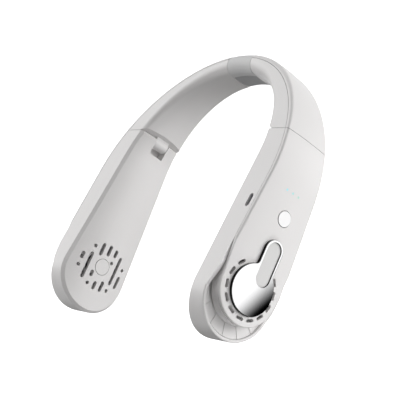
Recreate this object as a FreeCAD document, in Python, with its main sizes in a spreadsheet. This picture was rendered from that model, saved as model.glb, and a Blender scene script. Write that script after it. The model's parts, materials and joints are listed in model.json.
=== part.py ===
import FreeCAD, Part
import math
import os
import Sketcher
from FreeCAD import Placement, Rotation, Vector

# Neck fan: a flexible neck band with a soft grey middle, and two hinged arms that each hold a blower.
# Modelled about the centre of the nape's arc: +X to the right arm, +Y to the nape, +Z up as worn.
# The right half is modelled and mirrored, and the finished pieces are laid down on the arms' lower edges.

SIZES = {
    # Plan of the band and the arms
    "neck_radius": 74.0,
    "nape_thick": 13.3,
    "arm_thick": 30.0,
    "inner_crown": 72.0,
    "outer_crown": 160.0,
    # Side view
    "tongue_radius": 28.6,
    "tongue_reach": 95.5,
    "arm_taper": 4.8,
    "band_taper": 5.4,
    # Mouldings
    "wall": 2.2,
    "side_wall": 2.4,
    "band_side_wall": 4.5,
    "parting_drop": 4.2,
    "seam_line": 0.3,
    "edge_round": 4.4,
    "collar_round": 8.0,
    "shoulder_round": 1.6,
    "nape_round": 4.0,
    "lower_round": 1.6,
    "arm_bevel": 2.1,
    "lip_bevel": 1.0,
    "lid_round": 0.8,
    "slip": 0.3,
    # Soft middle of the band
    "sleeve_half": 13.4,
    "strip_width": 9.0,
    "strip_thick": 0.6,
    "strip_half_angle": 38.0,
    # Hinges between the band and the arms
    "seam_y": 19.5,
    "hinge_drop": 2.6,
    "hinge_depth": 4.6,
    "barrel_radius": 4.2,
    "leaf_width": 12.0,
    "leaf_thick": 6.0,
    "leaf_shift": 1.5,
    "leaf_grip": 8.0,
    "pocket_length": 12.5,
    "pin_radius": 1.25,
    "pin_grip": 5.0,
    "running_fit": 0.05,
    "groove_angle": 24.0,
    "groove_start": 1.8,
    "hinge_block": 15.5,
    # Blower
    "fan_rise": 7.2,
    "lip_gap": 4.3,
    "lid_flare": 4.0,
    "skirt_thick": 1.6,
    "skirt_depth": 6.0,
    "rim_drop": 4.3,
    "outlet_rise": 25.5,
    "outlet_ramp": 28.0,
    "outlet_floor": 1.4,
    "outlet_slot": 1.6,
    "outlet_slope": 17.0,
    "rim_round": 0.9,
    "rib_thick": 1.0,
    "rib_count": 7,
    "rib_span": 132.0,
    "rib_rise": 0.4,
    "blade_gap": 2.0,
    "impeller_height": 10.0,
    "impeller_gap": 3.0,
    "blade_thick": 0.8,
    "blade_depth": 6.0,
    "blade_count": 24,
    "web_thick": 1.2,
    "cup_radius": 11.0,
    "cup_wall": 1.0,
    "magnet_thick": 1.4,
    "air_gap": 0.5,
    "bearing_radius": 3.0,
    "shaft_radius": 1.0,
    "motor_seat": 4.2,
    "base_thick": 1.2,
    "base_radius": 9.0,
    "base_gap": 1.0,
    "magnet_inset": 0.5,
    "magnet_drop": 1.5,
    "core_rise": 1.6,
    "core_drop": 0.6,
    "core_hub": 1.0,
    "tooth_count": 6,
    "tooth_width": 1.8,
    "shoe_thick": 1.2,
    "coil_build": 1.0,
    "coil_overhang": 0.9,
    "shaft_step": 0.4,
    "shroud_thick": 1.2,
    "inlet_lip": 7.0,
    "shroud_lap": 1.0,
    "mouth_drop": 4.0,
    # Air inlets
    "vent_width": 2.8,
    "vent_pitch": 6.2,
    "hub_radius": 6.3,
    "hub_thick": 1.2,
    "hub_gap": 0.35,
    "ring_inset": 4.6,
    "ring_slot_length": 6.0,
    "ring_slot_width": 2.2,
    "ring_slot_count": 14,
    # Right arm's badge plate, controls and electronics
    "badge_inset": 2.5,
    "badge_rise": 2.2,
    "badge_thick": 4.2,
    "badge_join": 3.0,
    "badge_edge": 0.4,
    "badge_fit": 0.1,
    "bed_rim": 1.6,
    "stem_reach": 28.8,
    "stem_shift": 3.2,
    "stem_rim": 1.5,
    "inlay_radius": 6.1,
    "inlay_drop": 19.0,
    "inlay_thick": 1.2,
    "inlay_sink": 0.9,
    "inlay_gap": 0.2,
    "button_reach": 36.8,
    "button_shift": 1.8,
    "button_radius": 5.2,
    "button_rise": 0.3,
    "button_gap": 0.5,
    "button_travel": 0.8,
    "flange_thick": 0.8,
    "flange_rim": 1.2,
    "switch_width": 6.0,
    "led_reach": 19.0,
    "led_pitch": 5.4,
    "led_radius": 0.8,
    "led_height": 1.0,
    "led_length": 1.6,
    "led_width": 1.0,
    "board_thick": 1.6,
    "board_length": 44.0,
    "board_shift": 5.0,
    "board_edge_gap": 1.6,
    "board_corner": 3.0,
    "board_top_drop": 5.8,
    "usb_reach": 36.3,
    "usb_width": 8.94,
    "usb_height": 3.2,
    "usb_depth": 7.4,
    "usb_mouth": 9.8,
    "usb_metal": 0.3,
    "usb_back": 1.0,
    "usb_tongue_width": 6.6,
    "usb_tongue_thick": 0.7,
    # Cells
    "cell_length": 48.0,
    "cell_width": 24.0,
    "cell_thick": 10.0,
    "cell_seat": 4.2,
    "cell_round": 2.0,
    "rail_width": 2.0,
    "post_radius": 2.4,
    "screw_radius": 1.0,
    "screw_play": 0.1,
    "screw_length": 4.0,
    "screw_head": 1.2,
}

doc = FreeCAD.newDocument("neck_fan")
sheet = doc.addObject("Spreadsheet::Sheet", "sizes")
for row, (alias, number) in enumerate(SIZES.items(), start=1):
    sheet.set(f"A{row}", alias)
    sheet.set(f"B{row}", str(number))
    sheet.setAlias(f"B{row}", alias)
doc.recompute()


class Size:
    """A size that knows its number and the cells that the number comes from."""

    def __init__(self, value, text):
        self.value = value
        self.text = text

    def __add__(self, other):
        other = as_size(other)
        return Size(self.value + other.value, f"({self.text} + {other.text})")

    def __sub__(self, other):
        other = as_size(other)
        return Size(self.value - other.value, f"({self.text} - {other.text})")

    def __mul__(self, other):
        other = as_size(other)
        return Size(self.value * other.value, f"({self.text} * {other.text})")

    def __truediv__(self, other):
        other = as_size(other)
        return Size(self.value / other.value, f"({self.text} / {other.text})")

    def __radd__(self, other):
        return as_size(other) + self

    def __rsub__(self, other):
        return as_size(other) - self

    def __rmul__(self, other):
        return as_size(other) * self

    def __neg__(self):
        return Size(-self.value, f"(0 - {self.text})")


def as_size(number):
    if isinstance(number, Size):
        return number
    return Size(float(number), f"({float(number)!r})")


def size(alias):
    return Size(float(sheet.get(alias)), f"sizes.{alias}")


def root(a):
    return Size(math.sqrt(a.value), f"sqrt({a.text})")


def sine(angle):
    return Size(math.sin(math.radians(angle.value)), f"sin({angle.text})")


def cosine(angle):
    return Size(math.cos(math.radians(angle.value)), f"cos({angle.text})")


def tangent(angle):
    return sine(angle) / cosine(angle)


def bind(obj, prop, amount):
    amount = as_size(amount)
    obj.setExpression(prop, amount.text)


# Sketches: every corner is tied to the sheet, and round stretches are arcs between two corners


def plane_of(body, role):
    return next(plane for plane in body.Origin.OriginFeatures if plane.Role == role)


def new_sketch(body, name, role, shift=0.0):
    sketch = body.newObject("Sketcher::SketchObject", name)
    sketch.AttachmentSupport = (plane_of(body, role), [""])
    sketch.MapMode = "FlatFace"
    bind(sketch, ".AttachmentOffset.Base.z", shift)
    return sketch


def pin_point(sketch, geometry, end, x, y):
    for kind, axis, amount in (("DistanceX", -2, as_size(x)), ("DistanceY", -1, as_size(y))):
        if abs(amount.value) < 1e-9:
            sketch.addConstraint(Sketcher.Constraint("PointOnObject", geometry, end, axis))
            continue
        made = sketch.addConstraint(Sketcher.Constraint(kind, -1, 1, geometry, end, amount.value))
        bind(sketch, f"Constraints[{made}]", amount)


def set_radius(sketch, geometry, radius):
    radius = as_size(radius)
    made = sketch.addConstraint(Sketcher.Constraint("Radius", geometry, radius.value))
    bind(sketch, f"Constraints[{made}]", radius)


def add_circle(sketch, x, y, radius):
    middle = Vector(as_size(x).value, as_size(y).value, 0)
    made = sketch.addGeometry(Part.Circle(middle, Vector(0, 0, 1), as_size(radius).value))
    pin_point(sketch, made, 3, x, y)
    set_radius(sketch, made, radius)


def arc_between(a, b, bend):
    """The arc under a half circle from a to b that turns left where bend is positive."""
    chord = b - a
    half = chord.Length / 2
    left = Vector(-chord.y, chord.x, 0).normalize()
    reach = math.sqrt(max(bend * bend - half * half, 0))
    centre = (a + b) * 0.5 + left * math.copysign(reach, bend)
    first, last = (a, b) if bend > 0 else (b, a)
    start = math.atan2(first.y - centre.y, first.x - centre.x)
    stop = math.atan2(last.y - centre.y, last.x - centre.x)
    if stop < start:
        stop += 2 * math.pi
    return Part.ArcOfCircle(Part.Circle(centre, Vector(0, 0, 1), abs(bend)), start, stop)


def add_loop(sketch, corners):
    """A closed outline; a third item in a corner is the bend of the stretch to the next corner."""
    points = [Vector(as_size(c[0]).value, as_size(c[1]).value, 0) for c in corners]
    edges = []
    for index, corner in enumerate(corners):
        a = points[index]
        b = points[(index + 1) % len(points)]
        if len(corner) == 2:
            edges.append((sketch.addGeometry(Part.LineSegment(a, b)), 1, 2))
            continue
        bend = as_size(corner[2])
        made = sketch.addGeometry(arc_between(a, b, bend.value))
        edges.append((made, 1, 2) if bend.value > 0 else (made, 2, 1))
        set_radius(sketch, made, bend if bend.value > 0 else -bend)
    for index, corner in enumerate(corners):
        made, first, _ = edges[index]
        before, _, last = edges[index - 1]
        sketch.addConstraint(Sketcher.Constraint("Coincident", before, last, made, first))
        pin_point(sketch, made, first, corner[0], corner[1])


def fill(sketch, outlines):
    for outline in outlines:
        if isinstance(outline, dict):
            add_circle(sketch, outline["x"], outline["y"], outline["radius"])
        else:
            add_loop(sketch, outline)


def circle(x, y, radius):
    return {"x": x, "y": y, "radius": radius}


def rectangle(x0, y0, x1, y1):
    return [(x0, y0), (x1, y0), (x1, y1), (x0, y1)]


def pill(x, y0, y1, radius):
    """A slot outline along the sketch's vertical, between the centres of its round ends."""
    return [
        (x + radius, y0),
        (x + radius, y1, radius),
        (x, y1 + radius, radius),
        (x - radius, y1),
        (x - radius, y0, radius),
        (x, y0 - radius, radius),
    ]


# Solids


def new_body(name):
    return doc.addObject("PartDesign::Body", name)


def add_pad(body, name, role, outlines, start, stop):
    start = as_size(start)
    stop = as_size(stop)
    sketch = new_sketch(body, f"{name}_outline", role, start)
    fill(sketch, outlines)
    pad = body.newObject("PartDesign::Pad", name)
    pad.Profile = sketch
    bind(pad, "Length", stop - start)
    return pad


def prism(name, role, outlines, start, stop):
    """A body padded between two distances along the normal of one of its origin planes."""
    body = new_body(name)
    add_pad(body, f"{name}_pad", role, outlines, start, stop)
    return body


def along_x(name, outlines, start, stop):
    return prism(name, "YZ_Plane", outlines, start, stop)


def along_z(name, outlines, start, stop):
    return prism(name, "XY_Plane", outlines, start, stop)


def turned(name, outline):
    """A body turned about its own Z axis from an outline of radius and height."""
    body = new_body(name)
    add_turn(body, f"{name}_turn", outline)
    return body


def add_turn(body, name, outline):
    sketch = new_sketch(body, f"{name}_outline", "XZ_Plane")
    add_loop(sketch, outline)
    turn = body.newObject("PartDesign::Revolution", name)
    turn.Profile = sketch
    turn.ReferenceAxis = (sketch, ["V_Axis"])
    turn.Angle = 360
    return turn


def add_polar(body, feature, count, angle=360.0):
    pattern = body.newObject("PartDesign::PolarPattern", f"{feature.Name}_round")
    pattern.Originals = [feature]
    pattern.Axis = (feature.Profile[0], ["N_Axis"])
    pattern.Angle = angle
    bind(pattern, "Occurrences", count)
    body.Tip = pattern
    return pattern


def cut(name, base, *tools):
    for index, tool in enumerate(tools):
        step = doc.addObject("Part::Cut", f"{name}_cut{index}")
        step.Base = base
        step.Tool = tool
        base = step
    return base


def common(name, *shapes):
    made = doc.addObject("Part::MultiCommon", f"{name}_common")
    made.Shapes = list(shapes)
    return made


def fuse(name, *shapes):
    made = doc.addObject("Part::MultiFuse", f"{name}_fuse")
    made.Shapes = list(shapes)
    made.Refine = True
    return made


def mirrored(name, source):
    made = doc.addObject("Part::Mirroring", f"{name}_mirror")
    made.Source = source
    made.Normal = Vector(1, 0, 0)
    return made


# Main sizes

neck_radius = size("neck_radius")
outer_radius = neck_radius + size("arm_thick")
set_back = size("arm_thick") - size("nape_thick")
nape_y = neck_radius + size("nape_thick")
inner_crown = size("inner_crown")
outer_crown = size("outer_crown")
tongue_radius = size("tongue_radius")
tongue_y = -size("tongue_reach")
arm_taper = size("arm_taper")
band_taper = size("band_taper")
wall = size("wall")
side_wall = size("side_wall")
slip = size("slip")
seam_y = size("seam_y")
seam_line = size("seam_line")
fan_y = tongue_y + size("fan_rise")
lid_end = tongue_radius - size("lip_gap")
parting_x = outer_radius - size("parting_drop")
rim_x = parting_x - size("rim_drop")
# The forms reach past the widest part of the arms by this much
margin = 6.0
form_half = tongue_radius + margin
form_end = size("tongue_reach") + tongue_radius + margin
form_wide = outer_radius + margin


def crown_drop(crown, across):
    return crown - root(crown * crown - across * across)


def half_width(y, inset=0.0):
    return (tongue_radius - inset - (y - tongue_y) * sine(arm_taper)) / cosine(arm_taper)


# Forms that bound the right half of the ribbon


def swept_form(name, apex, back, crown=None, bulge=1):
    """A profile turned a quarter round the nape and run straight down the arm."""
    edge = apex
    side = (edge, -form_half)
    if crown is not None:
        edge = apex - bulge * crown_drop(crown, form_half)
        side = (edge, -form_half, bulge * crown)
    body = new_body(name)
    sketch = new_sketch(body, f"{name}_profile", "XZ_Plane", back)
    add_loop(sketch, [(0.0, -form_half), side, (edge, form_half), (0.0, form_half)])
    turn = body.newObject("PartDesign::Revolution", f"{name}_nape")
    turn.Profile = sketch
    turn.ReferenceAxis = (sketch, ["V_Axis"])
    turn.Angle = 90
    run = body.newObject("PartDesign::Pad", f"{name}_arm")
    run.Profile = sketch
    bind(run, "Length", form_end)
    return body


def side_form(name, inset):
    """The side view: a round tongue, straight tapering arm edges and a quicker taper on the band."""
    radius = tongue_radius - inset
    touch_y = tongue_y + radius * sine(arm_taper)
    touch_z = radius * cosine(arm_taper)
    seam_z = half_width(seam_y, inset)
    end_y = nape_y + margin
    end_z = seam_z - (end_y - seam_y) * tangent(band_taper)
    outline = [
        (tongue_y - radius, 0.0, radius),
        (touch_y, -touch_z),
        (seam_y, -seam_z),
        (end_y, -end_z),
        (end_y, end_z),
        (seam_y, seam_z),
        (touch_y, touch_z, radius),
    ]
    return along_x(name, [outline], 0.0, form_wide)


def lid_form(name, inset):
    """The end of the arm's cover: round about the fan, with sides that run out to the arm's edges."""
    radius = lid_end - inset
    flare = size("lid_flare")
    touch_y = fan_y - radius * sine(flare)
    touch_z = radius * cosine(flare)
    end_y = seam_y + margin
    end_z = touch_z + (end_y - touch_y) * tangent(flare)
    outline = [
        (fan_y - radius, 0.0, radius),
        (touch_y, -touch_z),
        (end_y, -end_z),
        (end_y, end_z),
        (touch_y, touch_z, radius),
    ]
    return along_x(name, [outline], 0.0, form_wide)


def plan_zone(name, x0, y0, x1, y1):
    return along_z(name, [rectangle(x0, y0, x1, y1)], -form_half, form_half)


def find_edges(shape, test):
    return [n for n, edge in enumerate(shape.Edges, start=1) if test(edge)]


def rounded(name, base, radius_at, test):
    """Fillets the edges that the test picks, with a radius that may change along each edge."""
    doc.recompute()
    made = doc.addObject("Part::Fillet", f"{name}_round")
    made.Base = base
    picked = []
    for index in find_edges(base.Shape, test):
        edge = base.Shape.Edges[index - 1]
        first = edge.valueAt(edge.FirstParameter)
        last = edge.valueAt(edge.LastParameter)
        picked.append((index, radius_at(first), radius_at(last)))
    made.Edges = picked
    return made


def bevelled(name, base, leg, test):
    """Cuts the edges that the test picks to a flat with equal legs."""
    doc.recompute()
    made = doc.addObject("Part::Chamfer", f"{name}_bevel")
    made.Base = base
    made.Edges = [(index, leg, leg) for index in find_edges(base.Shape, test)]
    return made


def middle_of(edge):
    return edge.valueAt((edge.FirstParameter + edge.LastParameter) / 2)


def inner_distance(point):
    """How far a point lies outside the neck's plain arc and its straight run."""
    reach = math.hypot(point.x, point.y) if point.y > 0 else point.x
    return reach - neck_radius.value


def runs_along(edge):
    """True for an edge that follows the arm or the band, not one across its end."""
    a = edge.valueAt(edge.FirstParameter)
    b = edge.valueAt(edge.LastParameter)
    at_seam = max(abs(a.y - seam_y.value), abs(b.y - seam_y.value)) < 1.0
    at_middle = max(abs(a.x), abs(b.x)) < 1.0
    return not at_seam and not at_middle


outer = swept_form("outer_face", outer_radius, set_back, outer_crown)
inner = swept_form("neck_face", neck_radius, 0.0, inner_crown, -1)
side = side_form("side_view", 0.0)
ribbon = cut("ribbon", common("ribbon", outer, side), inner)

cavity_outer = swept_form("outer_wall", outer_radius - wall, set_back, outer_crown - wall)
cavity_inner = swept_form("neck_wall", neck_radius + wall, 0.0, inner_crown - wall, -1)
cavity_side = side_form("side_walls", side_wall)
cavity = cut("cavity", common("cavity", cavity_outer, cavity_side), cavity_inner)

arm_zone = plan_zone("arm_zone", 0.0, -form_end - margin, form_wide, seam_y - seam_line / 2)
band_zone = plan_zone("band_zone", 0.0, seam_y + seam_line / 2, form_wide, nape_y + margin)
arm_blank = common("arm_blank", ribbon, arm_zone)
band_blank = common("band_blank", ribbon, band_zone)

edge_round = size("edge_round")
lower_round = size("lower_round")
shoulder_round = size("shoulder_round")
nape_round = size("nape_round")
collar_round = size("collar_round")
arm_bevel = size("arm_bevel")


def is_outside(point):
    return inner_distance(point) > size("nape_thick").value / 2


def band_round_at(point):
    """Edge radii: the upper edges grow rounder towards the nape, and the lower inner edge stays crisp."""
    at_nape = abs(point.x) < 1.0
    if is_outside(point):
        return nape_round.value if at_nape else shoulder_round.value
    if point.z < 0:
        return lower_round.value
    return collar_round.value if at_nape else edge_round.value


def is_shoulder(edge):
    return runs_along(edge) and is_outside(middle_of(edge))


def is_inner_edge(edge):
    return runs_along(edge) and not is_outside(middle_of(edge))


arm_shouldered = rounded("arm_shouldered", arm_blank, lambda point: shoulder_round.value, is_shoulder)
arm_edged = bevelled("arm_edged", arm_shouldered, arm_bevel.value, is_inner_edge)


def is_hinge_lip(edge):
    """The inner edge of the arm's end, with its bevelled corners."""
    a = edge.valueAt(edge.FirstParameter)
    b = edge.valueAt(edge.LastParameter)
    end_y = (seam_y - seam_line / 2).value
    on_end = max(abs(a.y - end_y), abs(b.y - end_y)) < 0.01
    return on_end and max(inner_distance(a), inner_distance(b)) < edge_round.value


arm_form = bevelled("arm_form", arm_edged, size("lip_bevel").value, is_hinge_lip)
band_form = rounded("band_form", band_blank, band_round_at, runs_along)
parting = swept_form("parting", parting_x, set_back)
parting_gap = swept_form("parting_gap", parting_x + seam_line, set_back)

# Hinge places: the pin stands up through the arm, just inside the inner face

pin_y = seam_y - size("hinge_drop")
pin_reach = neck_radius + size("hinge_depth")
pin_x = root(pin_reach * pin_reach - pin_y * pin_y)
leaf_low = -size("leaf_shift") - size("leaf_width") / 2
leaf_high = leaf_low + size("leaf_width")
pocket_deep = pin_x + size("barrel_radius") + 2 * slip
pin_low = leaf_low - slip - size("pin_grip")
pin_high = leaf_high + slip + size("pin_grip")
block_y = seam_y - size("hinge_block")

# Band: an inner shell that carries the hinge leaf and the spring strip, and an outer shell

sleeve_x = size("sleeve_half")
leaf_thick = size("leaf_thick")
leaf_end = seam_y + size("leaf_grip")
strip_radius = neck_radius + size("nape_thick") / 2
strip_slot = size("strip_thick") / 2 + slip
band_part_zone = plan_zone("band_part_zone", sleeve_x + seam_line / 2, 0.0, form_wide, nape_y + margin)
band_solid = common("band_solid", band_form, band_part_zone)
band_hollow_zone = plan_zone(
    "band_hollow_zone", sleeve_x + side_wall, leaf_end, form_wide, nape_y + margin
)
band_side = side_form("band_side_walls", size("band_side_wall"))
band_hollow = common("band_hollow", cavity, band_hollow_zone, band_side)

groove_x = pin_x + size("groove_start")
groove_run = size("groove_start") + 2 * size("hinge_depth")
groove_tool = along_z(
    "hinge_groove",
    [
        [
            (groove_x, seam_y - 1.0),
            (groove_x, seam_y + seam_line / 2),
            (groove_x - groove_run, seam_y + seam_line / 2 + groove_run * tangent(size("groove_angle"))),
            (groove_x - groove_run, seam_y - 1.0),
        ]
    ],
    -form_half,
    form_half,
)
leaf_slot = along_z(
    "leaf_slot",
    [rectangle(pin_x - leaf_thick / 2, seam_y - 1.0, pin_x + leaf_thick / 2, leaf_end + 0.1)],
    leaf_low,
    leaf_high,
)
barrel_radius = size("barrel_radius")
barrel_room = along_z("barrel_room", [circle(pin_x, pin_y, barrel_radius + slip)], leaf_low, leaf_high)


def ring_piece(name, middle, half_thick, half_height, half_angle):
    """A strip bent round the nape, centred on the mid-plane."""
    body = new_body(name)
    sketch = new_sketch(body, f"{name}_section", "YZ_Plane")
    add_loop(sketch, rectangle(middle - half_thick, -half_height, middle + half_thick, half_height))
    turn = body.newObject("PartDesign::Revolution", f"{name}_bend")
    turn.Profile = sketch
    turn.ReferenceAxis = (sketch, ["V_Axis"])
    turn.Midplane = True
    bind(turn, "Angle", 2 * half_angle)
    return body


strip_half_angle = size("strip_half_angle")
strip_path = ring_piece(
    "strip_path", strip_radius, strip_slot, size("strip_width") / 2 + slip, strip_half_angle + 0.5
)
band_parting = common("band_parting", band_solid, parting)
band_inner = cut(
    "band_inner", band_parting, band_hollow, groove_tool, leaf_slot, barrel_room, strip_path
)
band_outer = cut("band_outer", band_solid, parting_gap, band_hollow, strip_path)

sleeve_zone = plan_zone("sleeve_zone", 0.0, 0.0, sleeve_x - seam_line / 2, nape_y + margin)
sleeve_half = cut("sleeve_half", common("sleeve_half", band_form, sleeve_zone), strip_path)
sleeve = fuse("sleeve", sleeve_half, mirrored("sleeve_left", sleeve_half))
strip = ring_piece(
    "spring_strip", strip_radius, size("strip_thick") / 2, size("strip_width") / 2, strip_half_angle
)

# Hinge leaf: a barrel on the pin and a flat tongue held in the band's end

leaf_body = new_body("hinge_leaf")
add_pad(
    leaf_body,
    "leaf_tongue",
    "XY_Plane",
    [rectangle(pin_x - leaf_thick / 2, pin_y, pin_x + leaf_thick / 2, leaf_end)],
    leaf_low,
    leaf_high,
)
add_pad(leaf_body, "leaf_barrel", "XY_Plane", [circle(pin_x, pin_y, barrel_radius)], leaf_low, leaf_high)
leaf_bore = along_z(
    "leaf_bore", [circle(pin_x, pin_y, size("pin_radius") + size("running_fit"))], leaf_low - 1, leaf_high + 1
)
leaf = cut("hinge_leaf", leaf_body, leaf_bore)
pin = along_z("hinge_pin", [circle(pin_x, pin_y, size("pin_radius"))], pin_low, pin_high)

# Arm tray: inner face, side walls, hinge ears, posts and seats

arm_hollow_zone = plan_zone("arm_hollow_zone", 0.0, -form_end - margin, form_wide, block_y)
arm_hollow = common("arm_hollow", cavity, arm_hollow_zone)
outlet_start = tongue_y + size("outlet_rise")
outlet_low = outlet_start - size("outlet_ramp")
ramp_rise = size("rim_drop") + 1.0
ramp_bend = (ramp_rise * ramp_rise + size("outlet_ramp") * size("outlet_ramp")) / (2 * ramp_rise)
outlet_tool = along_z(
    "outlet_opening",
    [
        [
            (rim_x, -form_end - margin),
            (form_wide, -form_end - margin),
            (form_wide, outlet_start),
            (rim_x + ramp_rise, outlet_start, -ramp_bend),
            (rim_x, outlet_low),
        ]
    ],
    -form_half,
    form_half,
)
ear_gap_low = leaf_low - slip
ear_gap_high = leaf_high + slip
pocket_tool = along_z(
    "hinge_pocket",
    [rectangle(0.0, seam_y - size("pocket_length"), pocket_deep, seam_y + 1.0)],
    ear_gap_low,
    ear_gap_high,
)
pin_hole = along_z("pin_hole", [circle(pin_x, pin_y, size("pin_radius"))], pin_low, pin_high)


def floor_x(z):
    """Height of the middle of the tray's floor wall at a distance across it."""
    return neck_radius + crown_drop(inner_crown, as_size(z)) + wall / 2


motor_x = neck_radius + wall + size("motor_seat")
motor_boss = along_x(
    "motor_boss", [circle(fan_y, 0.0, size("base_radius"))], neck_radius + wall / 2, motor_x
)
post_radius = size("post_radius")
post_top = parting_x - 2.0
cell_half = size("cell_length") / 2
upper_post = (block_y - 2 * post_radius, size("cell_width") / 2)
lower_post = (fan_y + lid_end + post_radius + 2 * slip, lid_end - 3 * post_radius)


def paired_posts(name, place, start, stop, radius):
    y, z = place
    return along_x(name, [circle(y, z, radius), circle(y, -z, radius)], start, stop)


tray_posts = [
    paired_posts(f"tray_post{n}", place, floor_x(place[1]), post_top, post_radius)
    for n, place in enumerate((upper_post, lower_post))
]
lid_middle = swept_form("lid_middle", outer_radius - wall / 2, set_back, outer_crown - wall / 2)
lid_posts = [
    common(
        f"lid_post{n}_trim",
        paired_posts(f"lid_post{n}", place, post_top, outer_radius, post_radius),
        lid_middle,
    )
    for n, place in enumerate((upper_post, lower_post))
]
cell_x = neck_radius + wall + size("cell_seat")
cell_y = upper_post[0] - post_radius - 2 * slip - cell_half
rail_z = size("cell_width") / 4
rail_half = size("rail_width") / 2
cell_rails = along_x(
    "cell_rails",
    [
        rectangle(cell_y - cell_half, rail_z - rail_half, cell_y + cell_half, rail_z + rail_half),
        rectangle(cell_y - cell_half, -rail_z - rail_half, cell_y + cell_half, -rail_z + rail_half),
    ],
    floor_x(0.0),
    cell_x,
)
hub_recess = along_x(
    "hub_recess", [circle(fan_y, 0.0, size("hub_radius"))], neck_radius - 1, neck_radius + size("hub_thick")
)

# Vent slots on the inner face: a column number across, then the ends along the arm from the hub
vent_columns = [
    (3, [(4.0, -1.8), (-6.6, -6.6)]),
    (2, [(11.8, 11.8), (6.7, -14.4)]),
    (1, [(16.8, 6.9), (-5.3, -10.5), (-15.7, -15.7)]),
    (0, [(17.8, 9.2), (-11.8, -18.4)]),
    (-1, [(16.9, 10.7), (6.0, 6.0), (-9.1, -17.6)]),
    (-2, [(13.7, -9.2), (-14.0, -14.0)]),
    (-3, [(5.8, 5.8), (0.5, -9.5)]),
]


def slot_solid(y_a, y_b, z, width, x_low, x_high):
    """A round-ended slot through the inner face, as one solid."""
    radius = width / 2
    low = min(y_a, y_b)
    high = max(y_a, y_b)
    depth = Vector(x_high - x_low, 0, 0)
    if high - low < 0.01:
        disc = Part.Face(Part.Wire(Part.makeCircle(radius, Vector(x_low, low, z), Vector(1, 0, 0))))
        return disc.extrude(depth)
    low += radius
    high -= radius
    a = Vector(x_low, low, z + radius)
    b = Vector(x_low, high, z + radius)
    c = Vector(x_low, high, z - radius)
    d = Vector(x_low, low, z - radius)
    edges = [
        Part.makeLine(a, b),
        Part.Arc(b, Vector(x_low, high + radius, z), c).toShape(),
        Part.makeLine(c, d),
        Part.Arc(d, Vector(x_low, low - radius, z), a).toShape(),
    ]
    return Part.Face(Part.Wire(edges)).extrude(depth)


def vent_solids():
    pitch = size("vent_pitch").value
    width = size("vent_width").value
    low = neck_radius.value - 1
    high = (neck_radius + wall + crown_drop(inner_crown, 4 * size("vent_pitch"))).value
    solids = []
    for column, slots in vent_columns:
        for start, stop in slots:
            y_a = fan_y.value + start
            y_b = fan_y.value + stop
            solids.append(slot_solid(y_a, y_b, column * pitch, width, low, high))
    return Part.makeCompound(solids)


vents = doc.addObject("Part::Feature", "vents")
vents.Shape = vent_solids()

tray_cut = cut("tray_shell", common("tray_shell", arm_form, parting), arm_hollow, outlet_tool)


def is_rim(edge):
    """The two edges of the tray's rim round the tongue."""
    a = edge.valueAt(edge.FirstParameter)
    b = edge.valueAt(edge.LastParameter)
    level = max(abs(a.x - rim_x.value), abs(b.x - rim_x.value)) < 0.01
    return level and middle_of(edge).y < outlet_low.value


tray_shell = rounded("tray_rim", tray_cut, lambda point: size("rim_round").value, is_rim)
tray_full = fuse("tray_full", tray_shell, motor_boss, cell_rails, *tray_posts)
tray_base = cut("tray", tray_full, pocket_tool, pin_hole, hub_recess, vents)

# Arm cover: a crowned lid with a skirt round its free end, over the air outlet

lid_outline = lid_form("lid_outline", 0.0)
lid_hollow = lid_form("lid_hollow", size("skirt_thick"))
skirt_ring = cut("skirt_ring", lid_outline, lid_hollow)
skirt_low = parting_x - size("skirt_depth")
skirt_slab = along_x(
    "skirt_slab",
    [rectangle(-form_end, -form_half, outlet_start, form_half)],
    skirt_low,
    parting_x + 2 * seam_line,
)
skirt_room = side_form("skirt_room", side_wall + slip)
skirt = common("skirt", skirt_ring, skirt_slab, skirt_room, outer)
lid_plate = cut("lid_plate", common("lid_plate", arm_form, lid_outline), parting_gap, arm_hollow)


def is_lid_end(edge):
    """The upper edges of the lid's free end."""
    point = middle_of(edge)
    reach = math.hypot(point.y - fan_y.value, point.z)
    top = (outer_radius - crown_drop(outer_crown, as_size(point.z))).value
    return abs(point.x - top) < 0.1 and abs(reach - lid_end.value) < 0.05


lid_top = rounded("lid_top", lid_plate, lambda point: size("lid_round").value, is_lid_end)
lid_full = fuse("lid_full", lid_top, skirt, *lid_posts)


ring_radius = lid_end - size("ring_inset")


def ring_slots(name, count, angle, start_angle):
    """Short dashes set round the fan, as cutters through the lid."""
    body = new_body(name)
    radius = size("ring_slot_width") / 2
    half = size("ring_slot_length") / 2 - radius
    slot = add_pad(
        body,
        f"{name}_dash",
        "XY_Plane",
        [pill(ring_radius, -half, half, radius)],
        parting_x - size("skirt_depth"),
        form_wide,
    )
    add_polar(body, slot, count, angle)
    turn = Rotation(Vector(0, 0, 1), start_angle)
    body.Placement = fan_place().multiply(Placement(Vector(), turn))
    return body


def fan_place():
    """Stands a turned piece on the fan's axis: its Z along +X, its X along the arm towards the band."""
    return Placement(
        Vector(0, fan_y.value, 0), Rotation(Vector(0, 1, 0), Vector(0, 0, 1), Vector(1, 0, 0), "ZXY")
    )


slot_count = size("ring_slot_count")
slot_step = 360.0 / slot_count.value
covered = 3
open_slots = slot_count - covered
full_ring = ring_slots("ring_slots_left", slot_count, 360.0, 0.0)
part_ring = ring_slots(
    "ring_slots_right", open_slots, slot_step * (open_slots.value - 1), slot_step * (covered + 1) / 2
)
left_lid = cut("lid_left", lid_full, full_ring)

# Badge plate on the right arm: a disc with a stem that holds a matte inlay

badge_top = outer_radius + size("badge_rise")
badge_low = badge_top - size("badge_thick")
badge_radius = ring_radius - size("badge_inset")
stem_radius = size("inlay_radius") + size("stem_rim")
stem_y = fan_y + size("stem_reach")
stem_z = -size("stem_shift")


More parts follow.
